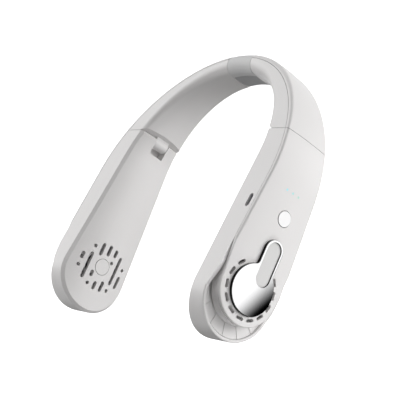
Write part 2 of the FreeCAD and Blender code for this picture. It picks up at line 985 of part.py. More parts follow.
def badge_outline(grow):
    """The plate's outline: a disc and a round-ended stem, joined by hollow curves."""
    disc = badge_radius + grow
    stem = stem_radius + grow
    join = size("badge_join") - grow
    far = disc + join
    share = disc / far
    low = stem_z - stem
    high = stem_z + stem
    low_run = root(far * far - (low - join) * (low - join))
    high_run = root(far * far - (high + join) * (high + join))
    return [
        (fan_y + low_run, low),
        (stem_y, low, stem),
        (stem_y + stem, stem_z, stem),
        (stem_y, high),
        (fan_y + high_run, high, -join),
        (fan_y + high_run * share, (high + join) * share, disc),
        (fan_y, disc, disc),
        (fan_y - disc, 0.0, disc),
        (fan_y, -disc, disc),
        (fan_y + low_run * share, (low - join) * share, -join),
    ]


def pill_along_y(y0, y1, z, radius):
    return [
        (y0, z - radius),
        (y1, z - radius, radius),
        (y1 + radius, z, radius),
        (y1, z + radius),
        (y0, z + radius, radius),
        (y0 - radius, z, radius),
    ]


def is_badge_top(edge):
    """The rim of the plate's crowned face."""
    point = middle_of(edge)
    top = (badge_top - crown_drop(badge_crown, as_size(point.z))).value
    return abs(point.x - top) < 0.02


inlay_low_y = stem_y - size("inlay_drop")
inlay_top = badge_top - size("inlay_sink")
inlay_x = inlay_top - size("inlay_thick")
inlay_radius = size("inlay_radius")
badge_crown = outer_crown + size("badge_rise")
badge_face = swept_form("badge_face", badge_top, set_back, badge_crown)
badge_blank = common(
    "badge_blank", along_x("badge_blank", [badge_outline(0.0)], badge_low, form_wide), badge_face
)
badge_body = rounded("badge_top", badge_blank, lambda point: size("badge_edge").value, is_badge_top)
inlay_seat = along_x(
    "inlay_seat", [pill_along_y(inlay_low_y, stem_y, stem_z, inlay_radius)], inlay_x, form_wide
)
badge = cut("badge", badge_body, inlay_seat)
inlay = common(
    "badge_inlay",
    along_x(
        "badge_inlay",
        [pill_along_y(inlay_low_y, stem_y, stem_z, inlay_radius - size("inlay_gap"))],
        inlay_x,
        form_wide,
    ),
    swept_form("inlay_face", inlay_top, set_back, badge_crown - size("inlay_sink")),
)
badge_bed_low = badge_low - wall
badge_bed = common(
    "badge_bed", along_x("badge_bed", [badge_outline(size("bed_rim"))], badge_bed_low, form_wide), outer
)
badge_pocket = along_x("badge_pocket", [badge_outline(size("badge_fit"))], badge_low, form_wide)

# Power button, indicator lights, circuit board and charging socket in the right arm

button_y = -size("button_reach")
button_z = -size("button_shift")
button_radius = size("button_radius")
button_top = outer_radius + size("button_rise")
board_top = outer_radius - size("board_top_drop")
board_low = board_top - size("board_thick")
board_y = button_y + size("board_shift")
board_half = size("board_length") / 2
board_z = half_width(board_y + board_half) - side_wall - size("board_edge_gap")
led_y = -size("led_reach")
led_places = [(led_y, size("led_pitch") * k) for k in (-1, 0, 1)]
led_radius = size("led_radius")
button_hole = along_x(
    "button_hole", [circle(button_y, button_z, button_radius + size("button_gap"))], board_top, form_wide
)
led_holes = along_x(
    "led_holes", [circle(y, z, led_radius) for y, z in led_places], board_top, form_wide
)
lid_bedded = fuse("lid_bedded", lid_full, badge_bed)
right_lid = cut("lid_right", lid_bedded, badge_pocket, part_ring, button_hole, led_holes)

flange_top = outer_radius - wall - 2 * slip
flange_low = flange_top - size("flange_thick")
button_body = new_body("power_button")
add_pad(
    button_body,
    "button_cap",
    "YZ_Plane",
    [circle(button_y, button_z, button_radius)],
    flange_low,
    button_top,
)
add_pad(
    button_body,
    "button_flange",
    "YZ_Plane",
    [circle(button_y, button_z, button_radius + size("flange_rim"))],
    flange_low,
    flange_top,
)
switch_half = size("switch_width") / 2
switch_top = flange_low - size("button_travel") - slip
button_switch = along_x(
    "button_switch",
    [
        rectangle(
            button_y - switch_half, button_z - switch_half, button_y + switch_half, button_z + switch_half
        )
    ],
    board_top,
    switch_top,
)
led_top = board_top + size("led_height")
led_long = size("led_length") / 2
led_half = size("led_width") / 2
light_pipes = along_x(
    "light_pipes",
    [circle(y, z, led_radius) for y, z in led_places],
    led_top,
    outer_radius - crown_drop(outer_crown, size("led_pitch")),
)
leds = along_x(
    "indicator_leds",
    [rectangle(y - led_long, z - led_half, y + led_long, z + led_half) for y, z in led_places],
    board_top,
    led_top,
)
board_posts_z = size("cell_width") / 2 + 2 * slip + post_radius
board_hole_radius = size("screw_radius") + size("screw_play")
board_post_places = [
    (y, z)
    for y in (board_y - board_half + size("board_corner"), board_y + board_half - size("board_corner"))
    for z in (board_posts_z, -board_posts_z)
]
board = along_x(
    "circuit_board",
    [
        rectangle(board_y - board_half, -board_z, board_y + board_half, board_z),
        *[circle(y, z, board_hole_radius) for y, z in board_post_places],
    ],
    board_low,
    board_top,
)
board_posts = along_x(
    "board_posts",
    [circle(y, z, post_radius) for y, z in board_post_places],
    floor_x(board_posts_z),
    board_low,
)
board_screw_heads = along_x(
    "board_screw_heads",
    [circle(y, z, 2 * size("screw_radius")) for y, z in board_post_places],
    board_top,
    board_top + size("screw_head"),
)
board_screw_stems = along_x(
    "board_screw_stems",
    [circle(y, z, size("screw_radius")) for y, z in board_post_places],
    board_low - size("screw_length"),
    board_top,
)
board_screws = fuse("board_screws", board_screw_heads, board_screw_stems)
board_screw_holes = along_x(
    "board_screw_holes",
    [circle(y, z, size("screw_radius")) for y, z in board_post_places],
    board_low - size("screw_length"),
    board_low,
)

usb_y = -size("usb_reach")
usb_high = board_low
usb_x = usb_high - size("usb_height") / 2
usb_face = half_width(usb_y) - side_wall / 2
usb_half = size("usb_width") / 2
usb_round = size("usb_height") / 2
usb_metal = size("usb_metal")
usb_back = size("usb_back")
tongue_half = size("usb_tongue_width") / 2
tongue_half_thick = size("usb_tongue_thick") / 2


def stadium_y(x, y, half, radius):
    """A flat round-ended outline in plan, long along Y."""
    straight = half - radius
    return [
        (x + radius, y - straight),
        (x + radius, y + straight, radius),
        (x, y + half, radius),
        (x - radius, y + straight),
        (x - radius, y - straight, radius),
        (x, y - half, radius),
    ]


usb_shell = along_z(
    "usb_shell", [stadium_y(usb_x, usb_y, usb_half, usb_round)], usb_face - size("usb_depth"), usb_face
)
usb_inside = along_z(
    "usb_inside",
    [stadium_y(usb_x, usb_y, usb_half - usb_metal, usb_round - usb_metal)],
    usb_face - size("usb_depth") + usb_back,
    usb_face + usb_back,
)
usb_tongue = along_z(
    "usb_tongue",
    [
        rectangle(
            usb_x - tongue_half_thick, usb_y - tongue_half, usb_x + tongue_half_thick, usb_y + tongue_half
        )
    ],
    usb_face - size("usb_depth") + usb_back / 2,
    usb_face - usb_back,
)
usb_socket = fuse("usb_socket", cut("usb_socket", usb_shell, usb_inside), usb_tongue)
usb_mouth = along_z(
    "usb_mouth",
    [stadium_y(usb_x, usb_y, size("usb_mouth") / 2, usb_round + slip)],
    usb_face - size("usb_depth"),
    form_half,
)
right_tray = cut("tray_right", fuse("tray_right", tray_base, board_posts), board_screw_holes, usb_mouth)

# Cells on rails in both arms

cell_body = along_x(
    "battery_cell",
    [
        rectangle(
            cell_y - cell_half, -size("cell_width") / 2, cell_y + cell_half, size("cell_width") / 2
        )
    ],
    cell_x,
    cell_x + size("cell_thick"),
)
cell_middle = (cell_x + size("cell_thick") / 2).value
cell = rounded(
    "battery_cell",
    cell_body,
    lambda point: size("cell_round").value,
    lambda edge: abs(middle_of(edge).x - cell_middle) < 0.01,
)

# Blower: a bladed wheel on a small outer-rotor motor, in a shroud that opens to the tip

wheel_low = motor_x + size("impeller_gap")
wheel_high = wheel_low + size("impeller_height")
cup_radius = size("cup_radius")
cup_wall = size("cup_wall")
cup_low = motor_x + size("base_thick") + size("base_gap")
shaft_radius = size("shaft_radius")
base_top = motor_x + size("base_thick")
bearing_radius = size("bearing_radius")
bearing_top = wheel_high - cup_wall - size("base_gap")
web_x = (wheel_low + wheel_high) / 2
shroud_out = lid_end - size("skirt_thick") - slip
shroud_in = shroud_out - size("shroud_thick")


def impeller_body():
    """Hub cup, web and forward-curved blades on both sides of the web."""
    body = new_body("impeller")
    add_turn(
        body,
        "hub_cup",
        [
            (shaft_radius, wheel_high - cup_wall),
            (cup_radius - cup_wall, wheel_high - cup_wall),
            (cup_radius - cup_wall, cup_low),
            (cup_radius, cup_low),
            (cup_radius, wheel_high),
            (shaft_radius, wheel_high),
        ],
    )
    thick = size("blade_thick")
    rim = shroud_in - size("blade_gap")
    root_r = rim - size("blade_depth")
    add_turn(
        body,
        "web",
        [
            (cup_radius - cup_wall / 2, web_x - size("web_thick") / 2),
            (rim - thick / 2, web_x - size("web_thick") / 2),
            (rim - thick / 2, web_x + size("web_thick") / 2),
            (cup_radius - cup_wall / 2, web_x + size("web_thick") / 2),
        ],
    )
    lean = size("blade_depth") / 3
    sweep = size("blade_depth") * 1.2
    blade = add_pad(
        body,
        "blade",
        "XY_Plane",
        [
            [
                (root_r, 0.0, sweep),
                (rim - thick / 2, lean + thick / 2),
                (rim - thick / 2, lean + 3 * thick / 2, -sweep),
                (root_r, thick),
            ]
        ],
        wheel_low,
        wheel_high,
    )
    add_polar(body, blade, size("blade_count"))
    body.Placement = fan_place()
    return body


impeller = impeller_body()
magnet_out = cup_radius - cup_wall
magnet_in = magnet_out - size("magnet_thick")
magnet_low = cup_low + size("magnet_inset")
magnet_high = wheel_high - cup_wall - size("magnet_drop")
magnet = turned(
    "magnet_ring",
    [
        (magnet_in, magnet_low),
        (magnet_out, magnet_low),
        (magnet_out, magnet_high),
        (magnet_in, magnet_high),
    ],
)
shaft_foot = motor_x + size("shaft_step")
shaft = turned(
    "motor_shaft",
    [(0.0, shaft_foot), (shaft_radius, shaft_foot), (shaft_radius, wheel_high), (0.0, wheel_high)],
)
bore = shaft_radius + size("running_fit")
motor_base = turned(
    "motor_base",
    [
        (0.0, motor_x),
        (size("base_radius"), motor_x),
        (size("base_radius"), base_top),
        (bearing_radius, base_top),
        (bearing_radius, bearing_top),
        (bore, bearing_top),
        (bore, shaft_foot - size("running_fit")),
        (0.0, shaft_foot - size("running_fit")),
    ],
)
stator_out = magnet_in - size("air_gap")
stator_low = base_top + size("core_rise")
stator_high = magnet_high - size("core_drop")
core_out = bearing_radius + size("core_hub")
tooth_half = size("tooth_width") / 2
shoe_in = stator_out - size("shoe_thick")


def stator_body():
    """A laminated core of a hub and broad-tipped teeth."""
    body = new_body("motor_stator")
    add_turn(
        body,
        "core_hub",
        [
            (bearing_radius, stator_low),
            (core_out, stator_low),
            (core_out, stator_high),
            (bearing_radius, stator_high),
        ],
    )
    shoe = stator_out * 0.42
    shoe_run = root(stator_out * stator_out - shoe * shoe)
    tooth = add_pad(
        body,
        "tooth",
        "XY_Plane",
        [
            [
                (core_out - tooth_half / 2, -tooth_half),
                (shoe_in - tooth_half / 2, -tooth_half),
                (shoe_in, -shoe),
                (shoe_run, -shoe, stator_out),
                (shoe_run, shoe),
                (shoe_in, shoe),
                (shoe_in - tooth_half / 2, tooth_half),
                (core_out - tooth_half / 2, tooth_half),
            ]
        ],
        stator_low,
        stator_high,
    )
    add_polar(body, tooth, size("tooth_count"))
    body.Placement = fan_place()
    return body


def coil_blanks():
    """The outer forms of the windings, one round each tooth."""
    body = new_body("coil_blanks")
    half = tooth_half + size("coil_build")
    blank = add_pad(
        body,
        "coil_blank",
        "XY_Plane",
        [rectangle(core_out + slip, -half, shoe_in - tooth_half, half)],
        stator_low - size("coil_overhang"),
        stator_high + size("coil_overhang"),
    )
    add_polar(body, blank, size("tooth_count"))
    body.Placement = fan_place()
    return body


stator = stator_body()
coils = cut("motor_coils", coil_blanks(), stator)
for piece in (magnet, shaft, motor_base):
    piece.Placement = fan_place()

shroud_top = rim_x + size("shroud_lap")
shroud_wall = cut(
    "shroud_wall",
    along_x("shroud_outside", [circle(fan_y, 0.0, shroud_out)], neck_radius, shroud_top),
    along_x(
        "shroud_inside",
        [circle(fan_y, 0.0, shroud_in)],
        neck_radius - 1,
        shroud_top - size("shroud_thick"),
    ),
    along_x("shroud_inlet", [circle(fan_y, 0.0, shroud_in - size("inlet_lip"))], rim_x - 1, shroud_top + 1),
    along_x(
        "shroud_mouth",
        [rectangle(-form_end, -form_half, fan_y - size("mouth_drop"), form_half)],
        neck_radius - 1,
        shroud_top - size("shroud_thick"),
    ),
)
room_inner = swept_form("room_inner", neck_radius + wall + slip, 0.0, inner_crown - wall - slip, -1)
shroud = cut("fan_shroud", shroud_wall, room_inner)

# Air outlet: a crescent scoop with faint radial ribs, rising from under the lid to the tray's rim

guide_room = side_form("guide_room", side_wall + slip / 2)
guide_start = shroud_out + slip
guide_top = skirt_low - size("outlet_slot")
guide_reach = 2 * tongue_radius
guide_rise = (guide_reach - lid_end) * tangent(size("outlet_slope"))


def scoop(name, low, high):
    """A ring about the fan's axis, flat under the lid and rising outside it, between two heights."""
    body = turned(
        name,
        [
            (guide_start, guide_top + low),
            (lid_end, guide_top + low),
            (guide_reach, guide_top + guide_rise + low),
            (guide_reach, guide_top + guide_rise + high),
            (lid_end, guide_top + high),
            (guide_start, guide_top + high),
        ],
    )
    body.Placement = fan_place()
    return body


guide_zone = along_x(
    "guide_zone", [rectangle(-form_end, -form_half, outlet_start, form_half)], neck_radius, form_wide
)
skirt_zone = along_x(
    "skirt_zone", [rectangle(-form_end, -form_half, seam_y, form_half)], skirt_low - slip, form_wide
)
skirt_space = common("skirt_space", lid_form("skirt_space_outline", -slip), skirt_zone)
guide_floor = scoop("guide_floor", -size("outlet_floor"), 0.0)
guide_plate = cut("guide_plate", common("guide_plate", guide_room, guide_zone, guide_floor), skirt_space)


def outlet_ribs():
    body = new_body("outlet_ribs")
    half = size("rib_thick") / 2
    rib = add_pad(
        body,
        "rib",
        "XY_Plane",
        [rectangle(lid_end + half, -half, form_half + margin, half)],
        neck_radius,
        form_wide,
    )
    span = size("rib_span").value
    add_polar(body, rib, size("rib_count"), span)
    start = Rotation(Vector(0, 0, 1), 180 - span / 2)
    body.Placement = fan_place().multiply(Placement(Vector(), start))
    return body


rib_layer = scoop("rib_layer", -size("outlet_floor") / 2, size("rib_rise"))
guide_ribs = common("guide_ribs", outlet_ribs(), guide_room, guide_zone, rib_layer)
guide_ribs = cut("guide_ribs", guide_ribs, skirt_space)
guide = fuse("outlet_guide", guide_plate, guide_ribs)

hub_cap = along_x(
    "hub_cap",
    [circle(fan_y, 0.0, size("hub_radius") - size("hub_gap"))],
    neck_radius,
    neck_radius + size("hub_thick"),
)

# Laying down: the arms' straight lower edges go flat on the table, and the box is centred on the origin

lean_angle = math.radians(arm_taper.value)
lower_edge = tongue_radius.value - size("tongue_reach").value * math.sin(lean_angle)
tip_y = -size("tongue_reach").value * math.cos(lean_angle) - tongue_radius.value
back_y = (nape_y.value - outer_crown.value) * math.cos(lean_angle) + outer_crown.value
laid = Placement(
    Vector(0, -(tip_y + back_y) / 2, lower_edge), Rotation(Vector(1, 0, 0), -arm_taper.value)
)

pieces = {}


def keep(name, source):
    """Gives a finished piece its own laid-down copy under its name."""
    made = doc.addObject("Part::Compound", name)
    made.Links = [source]
    made.Label = name
    pieces[name] = made


def keep_pair(name, source):
    keep(f"{name}_right", source)
    keep(f"{name}_left", mirrored(f"{name}_left", source))


keep_pair("band_inner", band_inner)
keep_pair("band_outer", band_outer)
keep_pair("hinge_leaf", leaf)
keep_pair("hinge_pin", pin)
keep("neck_sleeve", sleeve)
keep("spring_strip", strip)
keep("arm_tray_right", right_tray)
keep("arm_tray_left", mirrored("tray_left", tray_base))
keep("arm_cover_right", right_lid)
keep("arm_cover_left", mirrored("lid_left", left_lid))
for name, source in {
    "hub_cap": hub_cap,
    "outlet_guide": guide,
    "fan_shroud": shroud,
    "impeller": impeller,
    "magnet_ring": magnet,
    "motor_shaft": shaft,
    "motor_base": motor_base,
    "motor_stator": stator,
    "motor_coils": coils,
    "battery_cell": cell,
}.items():
    keep_pair(name, source)
for name, source in {
    "badge_plate": badge,
    "badge_inlay": inlay,
    "power_button": button_body,
    "button_switch": button_switch,
    "light_pipes": light_pipes,
    "indicator_leds": leds,
    "circuit_board": board,
    "board_screws": board_screws,
    "usb_socket": usb_socket,
}.items():
    keep(name, source)

doc.recompute()
for piece in pieces.values():
    piece.Placement = laid
doc.recompute()

faults = [obj.Name for obj in doc.Objects if {"Invalid", "Error"} & set(obj.State)]
for name, piece in pieces.items():
    if piece.Shape.isNull() or not piece.Shape.isValid() or not piece.Shape.Solids:
        faults.append(name)
if faults:
    raise RuntimeError(f"These did not build: {faults}")

os.makedirs("parts", exist_ok=True)
for name, piece in pieces.items():
    piece.Shape.exportStep(f"parts/{name}.step")
print(f"{len(pieces)} pieces written")
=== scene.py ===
# %% [markdown]
# This lesson dresses an electric neck fan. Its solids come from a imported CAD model, whose bodies and joints
# are fixed, so the rigid pieces only need finishes. What is soft or wound on the real fan is modelled again.

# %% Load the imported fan
import json
import math

import bmesh
import bpy
from mathutils import Matrix, Vector


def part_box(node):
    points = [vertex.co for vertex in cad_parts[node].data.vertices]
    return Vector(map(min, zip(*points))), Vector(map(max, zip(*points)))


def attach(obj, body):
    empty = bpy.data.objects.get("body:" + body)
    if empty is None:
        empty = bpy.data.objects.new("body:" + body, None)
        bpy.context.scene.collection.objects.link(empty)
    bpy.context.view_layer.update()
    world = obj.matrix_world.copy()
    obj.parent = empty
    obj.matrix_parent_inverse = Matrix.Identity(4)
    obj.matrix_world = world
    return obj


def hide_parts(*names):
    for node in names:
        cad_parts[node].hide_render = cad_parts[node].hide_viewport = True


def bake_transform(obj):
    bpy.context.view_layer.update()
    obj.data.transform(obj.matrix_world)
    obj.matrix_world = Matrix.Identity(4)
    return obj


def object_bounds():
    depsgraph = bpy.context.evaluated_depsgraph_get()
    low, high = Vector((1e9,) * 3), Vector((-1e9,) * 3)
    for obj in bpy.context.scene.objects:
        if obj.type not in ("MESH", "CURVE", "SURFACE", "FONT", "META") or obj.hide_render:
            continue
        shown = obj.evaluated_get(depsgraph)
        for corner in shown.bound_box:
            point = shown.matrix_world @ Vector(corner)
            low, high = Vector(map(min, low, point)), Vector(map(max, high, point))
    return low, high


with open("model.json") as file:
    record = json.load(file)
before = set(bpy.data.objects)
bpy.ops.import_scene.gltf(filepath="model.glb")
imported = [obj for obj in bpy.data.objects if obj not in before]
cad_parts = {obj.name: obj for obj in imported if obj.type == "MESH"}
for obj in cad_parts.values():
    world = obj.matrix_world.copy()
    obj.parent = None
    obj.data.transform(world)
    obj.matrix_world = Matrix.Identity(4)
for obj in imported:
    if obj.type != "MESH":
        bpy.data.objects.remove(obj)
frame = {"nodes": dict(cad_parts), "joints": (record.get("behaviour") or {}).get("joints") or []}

cad_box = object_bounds()
scene = bpy.context.scene
joints = {joint["name"]: joint for joint in frame["joints"]}

# %% [markdown]
# The fan is a flat U that lies on the straight lower edges of its two arms. Those edges taper, so the
# U leans a few degrees. Everything that follows the neck is easier to write in the U's own axes:
# across from arm to arm, back towards the nape, and up square to the U. The nape's hinge gives them.

# %% The fan's own axes
MM = 0.001
NECK_RADIUS = 74 * MM
NAPE_THICK = 13.3 * MM
across = Vector((1, 0, 0))
up = Vector(joints["neck_flex"]["axis"]).normalized()
back = up.cross(across)
nape_middle = Vector(joints["neck_flex"]["pos_m"])
neck_centre = nape_middle - back * (NECK_RADIUS + NAPE_THICK / 2)


def at(x, y, z):
    """A point given across, back and up from the centre of the neck's arc."""
    return neck_centre + across * x + back * y + up * z


print("neck centre", [round(v, 4) for v in neck_centre])

# %% [markdown]
# The camera comes first, because every later choice is judged through it. The photograph shows the fan at a
# slant, so the view has a large roll: the nape is at the top of the picture and the arms hang to the lower
# left. The angles are those of a camera turned round the fan, and the lens is long.

# %% Camera
VIEW_AROUND = math.radians(72.434)
VIEW_ABOVE = math.radians(32.682)
VIEW_ROLL = math.radians(-56.028)
VIEW_DISTANCE = 876 * MM
AIM = at(8.44 * MM, -27.7 * MM, 0)
LENS = 111.2
SENSOR = 36


def view_axes(around, above, roll):
    """Right, up and backward axes of a camera turned round the fan."""
    backward = (
        across * (math.cos(above) * math.sin(around))
        - back * (math.cos(above) * math.cos(around))
        + up * math.sin(above)
    )
    level = across * math.cos(around) + back * math.sin(around)
    upright = backward.cross(level)
    right = level * math.cos(roll) + upright * math.sin(roll)
    return right, backward.cross(right), backward


view_right, view_up, view_back = view_axes(VIEW_AROUND, VIEW_ABOVE, VIEW_ROLL)
camera_data = bpy.data.cameras.new("photo_camera")
camera_data.lens = LENS
camera_data.sensor_width = SENSOR
camera = bpy.data.objects.new("photo_camera", camera_data)
turn = Matrix((view_right, view_up, view_back)).transposed().to_4x4()
camera.matrix_world = Matrix.Translation(AIM + view_back * VIEW_DISTANCE) @ turn
scene.collection.objects.link(camera)
scene.camera = camera
print("camera", [round(v, 3) for v in camera.location])

# %% [markdown]
# Finishes are written as sums on sockets. The small class below holds one socket of a node tree: a sum or
# a product of two of them adds a Math node, and every other node comes from its one method, node().


# %% A socket that can be added and multiplied
class Flow:
    """One output socket of a node tree."""

    def __init__(self, tree, socket=None):
        self.tree = tree
        self.socket = socket

    def node(self, kind, settings=None, sockets=None, out=0):
        """Adds a node, sets its settings, then its sockets' values or links, and gives one output."""
        made = self.tree.nodes.new(kind)
        for name, value in (settings or {}).items():
            setattr(made, name, value)
        for name, value in (sockets or {}).items():
            if isinstance(value, Flow):
                self.tree.links.new(value.socket, made.inputs[name])
            else:
                made.inputs[name].default_value = value
        return Flow(self.tree, made.outputs[out])

    def math(self, operation, first, second):
        return self.node("ShaderNodeMath", {"operation": operation}, {0: first, 1: second})

    def __add__(self, other):
        return self.math("ADD", self, other)

    def __radd__(self, other):
        return self.math("ADD", other, self)

    def __sub__(self, other):
        return self.math("SUBTRACT", self, other)

    def __rsub__(self, other):
        return self.math("SUBTRACT", other, self)

    def __mul__(self, other):
        return self.math("MULTIPLY", self, other)

    def __rmul__(self, other):
        return self.math("MULTIPLY", other, self)


print("sums on sockets ready")

# %% [markdown]
# A few helpers cover what the finishes need: noise, a mix of two colours, a bump, a distance along an axis
# and a soft step. The noise reads Object coordinates, so that a pattern stays on its piece when that moves.


# %% Helpers for finishes
def new_finish(name):
    """A material with only its shader and output, and a Flow to build on."""
    made = bpy.data.materials.new(name)
    made.use_nodes = True
    shader = made.node_tree.nodes["Principled BSDF"]
    return made, shader, Flow(made.node_tree)


def feed(flow, shader, **sockets):
    """Links each Flow to the shader's socket of that name, with _ for a space."""
    for name, value in sockets.items():
        socket = shader.inputs[name.replace("_", " ")]
        flow.tree.links.new(value.socket, socket)


def grain(flow, size, detail=2.0):
    """Noise whose spots are about size metres across, fixed to the piece."""
    place = flow.node("ShaderNodeTexCoord", out="Object")
    return flow.node("ShaderNodeTexNoise", None, {"Vector": place, "Scale": 1 / size, "Detail": detail})


def mixed(flow, share, first, second):
    """A colour between two colours, each a Flow or three numbers."""
    ends = [end if isinstance(end, Flow) else (*end, 1.0) for end in (first, second)]
    sockets = {"Factor": share, 6: ends[0], 7: ends[1]}
    return flow.node("ShaderNodeMix", {"data_type": "RGBA"}, sockets, out=2)


def bumped(flow, height, strength, depth):
    """Normals bent by a height, which is worth depth metres at 1."""
    return flow.node("ShaderNodeBump", None, {"Strength": strength, "Distance": depth, "Height": height})


def along_axis(flow, vector, axis):
    """How far a vector reaches along an axis."""
    return flow.node("ShaderNodeVectorMath", {"operation": "DOT_PRODUCT"}, {0: vector, 1: axis}, out="Value")


def smooth_step(flow, value, edge):
    """0 below the edge's first value, 1 above its second, with a soft change between them."""
    return flow.node(
        "ShaderNodeMapRange",
        {"interpolation_type": "SMOOTHSTEP"},
        {"Value": value, "From Min": edge[0], "From Max": edge[1], "To Min": 0.0, "To Max": 1.0},
    )


print("finish helpers ready")

# %% [markdown]
# The body is injection-moulded white plastic with a faint warm cast and a satin polish. A moulding is
# never one colour: it clouds slightly over centimetres, and its polish breaks up in sub-millimetre grain.
# Its seams are gaps of a third of a millimetre. An occlusion node with a short reach finds such narrow
# places,
# and shade is painted there: the plastic's colour is darker in them, as in any narrow gap or corner.

# %% Moulded plastics
CLOUD_SIZE = 40 * MM
CLOUD_DETAIL = 1.0
FINE_DETAIL = 3.0
POLISH_BUMP = 0.15
COAT_ROUGHNESS = 0.2
SEAM_REACH = 0.7 * MM
SEAM_RAYS = 8
SEAM_CLEAR = (0.1, 0.7)
# The colour painted as shade in narrow gaps.
PAINTED_SEAM_SHADE = (0.06, 0.058, 0.056)


def clouds(flow):
    return grain(flow, CLOUD_SIZE, CLOUD_DETAIL)


def outside_painted_shade(flow):
    """Where shade is painted: 1 on an open face, towards 0 deep in a narrow gap."""
    reach = {"Distance": SEAM_REACH}
    clear = flow.node("ShaderNodeAmbientOcclusion", {"samples": SEAM_RAYS}, reach, out="AO")
    return smooth_step(flow, clear, SEAM_CLEAR)


def moulded(
    name,
    pale,
    deep,
    roughness,
    spread=0.08,
    coat=0.0,
    grain_size=0.5 * MM,
    relief=0.02 * MM,
    share=clouds,
):
    """A moulded plastic: two colours, in soft clouds or shared out as told, shade painted dark in narrow
    gaps, and a grain in its polish.
    """
    made, shader, flow = new_finish(name)
    fine = grain(flow, grain_size, FINE_DETAIL)
    feed(
        flow,
        shader,
        Base_Color=mixed(flow, outside_painted_shade(flow), PAINTED_SEAM_SHADE, mixed(flow, share(flow), pale, deep)),
        Roughness=fine * spread + (roughness - spread / 2),
        Normal=bumped(flow, fine, POLISH_BUMP, relief),
    )
    shader.inputs["Coat Weight"].default_value = coat
    shader.inputs["Coat Roughness"].default_value = COAT_ROUGHNESS
    return made


shell_white = moulded("shell_white", (0.806, 0.793, 0.788), (0.766, 0.752, 0.746), 0.42, coat=0.1)
tab_white = moulded("tab_white", (0.78, 0.77, 0.765), (0.74, 0.73, 0.725), 0.45)
button_gloss = moulded("button_gloss", (0.98, 0.98, 0.98), (0.95, 0.95, 0.95), 0.3, coat=0.2)
inlay_satin = moulded("inlay_satin", (0.73, 0.725, 0.72), (0.69, 0.685, 0.68), 0.5)
guide_white = moulded("guide_white", (0.80, 0.79, 0.785), (0.75, 0.74, 0.735), 0.5)
inside_dark = moulded("inside_dark", (0.05, 0.05, 0.052), (0.03, 0.03, 0.032), 0.5)
wheel_grey = moulded("wheel_grey", (0.80, 0.80, 0.795), (0.74, 0.74, 0.735), 0.5)
print("plastics:", [m.name for m in bpy.data.materials])

# %% [markdown]
# The sleeve over the nape is one grey silicone. Its pad against the neck, which ends at a crease a little
# above the middle of the band, is darker as painted shade. The painted shade wraps under to the middle of the
# band's thickness, where the spring strip is. One finish, pale with painted shade, needs no second piece.

# %% Sleeve silicone
PAD_TOP = 2.5 * MM
PAD_SHADE_BACK = 80 * MM
TONE_EDGE = 0.4 * MM


def outside_painted_pad_shade(flow):
    """1 above the pad or behind it, 0 on the pad, where its shade is painted."""
    place = flow.node("ShaderNodeTexCoord", out="Object")
    height = along_axis(flow, place, up) - neck_centre.dot(up)
    reach = along_axis(flow, place, back) - neck_centre.dot(back)
    above = smooth_step(flow, height, (PAD_TOP - TONE_EDGE, PAD_TOP))
    return flow.math("MAXIMUM", above, smooth_step(flow, reach, (PAD_SHADE_BACK - TONE_EDGE, PAD_SHADE_BACK)))


# The first colour is the pad's, darker as painted shade; the second is the silicone's own grey.
sleeve_silicone = moulded(
    "sleeve_silicone",
    (0.47, 0.47, 0.475),
    (0.72, 0.72, 0.72),
    0.62,
    grain_size=0.35 * MM,
    relief=0.05 * MM,
    share=outside_painted_pad_shade,
)
print("lining ends", round(PAD_TOP / MM, 1), "mm above the middle")

# %% [markdown]
# The metals are hidden apart from the bright badge and the mouth of the charging socket. They share one
# recipe: two near greys in a fine grain, which also breaks up the polish. The light pipes glow a little, and
# their colour changes along their row, so one finish serves all three.

# %% Metals, board and lights
METAL_BUMP = 0.1
METAL_RELIEF = 0.01 * MM
PIPE_GLOW = 0.18
PIPE_ROUGHNESS = 0.2


def metal(name, pale, deep, roughness, spread, grain_size):
    """A bare or plated metal with a grain in its polish."""
    made, shader, flow = new_finish(name)
    fine = grain(flow, grain_size, FINE_DETAIL)
    feed(
        flow,
        shader,
        Base_Color=mixed(flow, fine, pale, deep),
        Roughness=fine * spread + (roughness - spread / 2),
        Normal=bumped(flow, fine, METAL_BUMP, METAL_RELIEF),
    )
    shader.inputs["Metallic"].default_value = 1.0
    return made


ground_steel = metal("ground_steel", (0.58, 0.58, 0.60), (0.45, 0.45, 0.47), 0.3, 0.15, 0.3 * MM)
core_iron = metal("core_iron", (0.22, 0.22, 0.23), (0.15, 0.15, 0.16), 0.5, 0.15, 0.4 * MM)
coil_copper = metal("coil_copper", (0.55, 0.22, 0.09), (0.42, 0.16, 0.065), 0.3, 0.1, 0.4 * MM)
cell_foil = metal("cell_foil", (0.66, 0.67, 0.70), (0.58, 0.59, 0.62), 0.35, 0.15, 2 * MM)
board_mask = moulded("board_mask", (0.03, 0.17, 0.08), (0.02, 0.12, 0.055), 0.35)


def lit_dots(name, lower, upper):
    """Tinted light pipes that glow a little, from one colour to another along their row."""
    made, shader, flow = new_finish(name)
    low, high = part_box("light_pipes")
    place = flow.node("ShaderNodeTexCoord", out="Object")
    share = smooth_step(flow, along_axis(flow, place, up), (low.dot(up), high.dot(up)))
    colour = mixed(flow, share, lower, upper)
    feed(flow, shader, Base_Color=colour, Emission_Color=colour)
    shader.inputs["Emission Strength"].default_value = PIPE_GLOW
    shader.inputs["Roughness"].default_value = PIPE_ROUGHNESS
    return made


pipe_mint = lit_dots("pipe_mint", (0.46, 0.68, 0.60), (0.38, 0.74, 0.80))
print("metals and lights:", len(bpy.data.materials), "finishes in all")

# %% [markdown]
# The badge is plated plastic, a mirror whose look is all reflection. Its solid is crowned across the arm
# only. A plated moulding also sinks a little along its length, so a bump with a very long radius bends
# the normals that way too. That turns the edge between the white and the black it mirrors to a slant.
# The plating stops at the face: on the side walls, and those of the pocket for the inlay, shade is painted
# black.

# %% Badge mirror
BADGE_BEND = 200 * MM
WALL_TURN = (0.8, 0.95)
